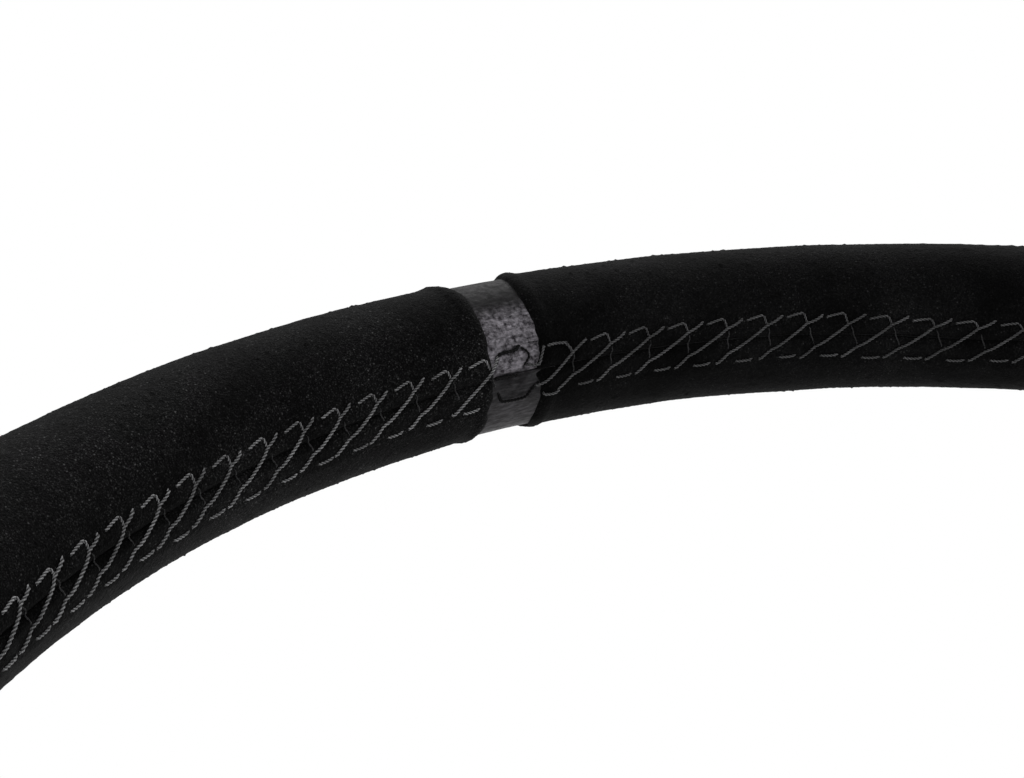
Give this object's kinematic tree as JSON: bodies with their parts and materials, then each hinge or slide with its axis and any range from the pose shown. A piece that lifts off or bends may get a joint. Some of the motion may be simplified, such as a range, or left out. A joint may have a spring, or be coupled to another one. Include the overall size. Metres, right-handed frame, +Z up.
{
  "type": "quick release steering wheel",
  "caption": "Round suede-covered racing steering wheel with a dished spoked frame, a horn push and a splined ball-lock quick release on a shaft spindle.",
  "frame": {"origin": "centre of the spindle's rear end face, on the steering axis, where the steering shaft goes in", "axes": "+Y along the steering axis away from the driver, who sits on the -Y side; +Z up, towards the top band; +X to the driver's right"},
  "size_m": [0.35, 0.1284, 0.3495],
  "materials": {
    "suede": "brushed suede nap, near black",
    "marker_leather": "fine-grained dark grey leather",
    "seam_thread": "twisted waxed thread, dark grey",
    "rim_foam": "moulded foam",
    "black_anodised": "satin black anodised",
    "hub_alloy": "machined, clear anodised",
    "spindle_steel": "turned steel, bright",
    "ball_steel": "polished bearing steel",
    "black_screw_steel": "black oxide",
    "spring_steel": "drawn spring wire",
    "contact_brass": "bright brass",
    "black_plastic": "fine matt texture",
    "button_plastic": "satin moulded",
    "o_ring_rubber": "smooth rubber"
  },
  "bodies": {
    "column": {"spindle": "spindle_steel", "nose_o_ring": "o_ring_rubber", "shaft_grub_screw_1": "black_screw_steel", "shaft_grub_screw_2": "black_screw_steel", "shaft_grub_screw_3": "black_screw_steel"},
    "wheel": {"release_hub": "hub_alloy", "collar_circlip": "spring_steel", "spoke_armature": "black_anodised", "rim_foam": "rim_foam", "cover_upper_left": "suede", "cover_upper_right": "suede", "cover_lower_left": "suede", "cover_lower_right": "suede", "top_marker": "marker_leather", "lacing_top": "seam_thread", "lacing_lower_left": "seam_thread", "lacing_lower_right": "seam_thread", "wheel_screw_1": "black_screw_steel", "wheel_screw_2": "black_screw_steel", "wheel_screw_3": "black_screw_steel", "wheel_screw_4": "black_screw_steel", "wheel_screw_5": "black_screw_steel", "wheel_screw_6": "black_screw_steel", "horn_bezel": "black_anodised", "horn_housing": "black_plastic", "horn_fixed_contact": "contact_brass", "horn_terminal_live": "contact_brass", "horn_terminal_return": "contact_brass", "collar_spring": "spring_steel", "horn_spring": "spring_steel"},
    "collar": {"release_collar": "black_anodised"},
    "horn_push": {"horn_button": "button_plastic", "horn_moving_contact": "contact_brass"},
    "ball_1": {"lock_ball_1": "ball_steel"},
    "ball_2": {"lock_ball_2": "ball_steel"},
    "ball_3": {"lock_ball_3": "ball_steel"},
    "ball_4": {"lock_ball_4": "ball_steel"},
    "ball_5": {"lock_ball_5": "ball_steel"},
    "ball_6": {"lock_ball_6": "ball_steel"}
  },
  "joints": [
    {"name": "wheel_pull_off", "type": "slide", "parent": "column", "child": "wheel", "axis": [0, -1, 0], "range_m": [0, 0.05]},
    {"name": "collar_release", "type": "slide", "parent": "wheel", "child": "collar", "axis": [0, 1, 0], "range_m": [0, 0.008], "stiffness_N_per_m": 1500, "springref_m": 0.02, "deforming": ["collar_spring"]},
    {"name": "horn_press", "type": "slide", "parent": "wheel", "child": "horn_push", "axis": [0, 1, 0], "range_m": [0, 0.003], "stiffness_N_per_m": 1500, "springref_m": -0.003, "deforming": ["horn_spring"]},
    {"name": "ball_1_lock", "type": "slide", "parent": "wheel", "child": "ball_1", "axis": [-1, 0, 0], "range_m": [0, 0.0018]},
    {"name": "ball_2_lock", "type": "slide", "parent": "wheel", "child": "ball_2", "axis": [-0.5, 0, -0.866], "range_m": [0, 0.0018]},
    {"name": "ball_3_lock", "type": "slide", "parent": "wheel", "child": "ball_3", "axis": [0.5, 0, -0.866], "range_m": [0, 0.0018]},
    {"name": "ball_4_lock", "type": "slide", "parent": "wheel", "child": "ball_4", "axis": [1, 0, 0], "range_m": [0, 0.0018]},
    {"name": "ball_5_lock", "type": "slide", "parent": "wheel", "child": "ball_5", "axis": [0.5, 0, 0.866], "range_m": [0, 0.0018]},
    {"name": "ball_6_lock", "type": "slide", "parent": "wheel", "child": "ball_6", "axis": [-0.5, 0, 0.866], "range_m": [0, 0.0018]}
  ],
  "couplings": [
    {"joint": "ball_1_lock", "follows": "collar_release", "ratio": 0.225},
    {"joint": "ball_2_lock", "follows": "collar_release", "ratio": 0.225},
    {"joint": "ball_3_lock", "follows": "collar_release", "ratio": 0.225},
    {"joint": "ball_4_lock", "follows": "collar_release", "ratio": 0.225},
    {"joint": "ball_5_lock", "follows": "collar_release", "ratio": 0.225},
    {"joint": "ball_6_lock", "follows": "collar_release", "ratio": 0.225}
  ]
}
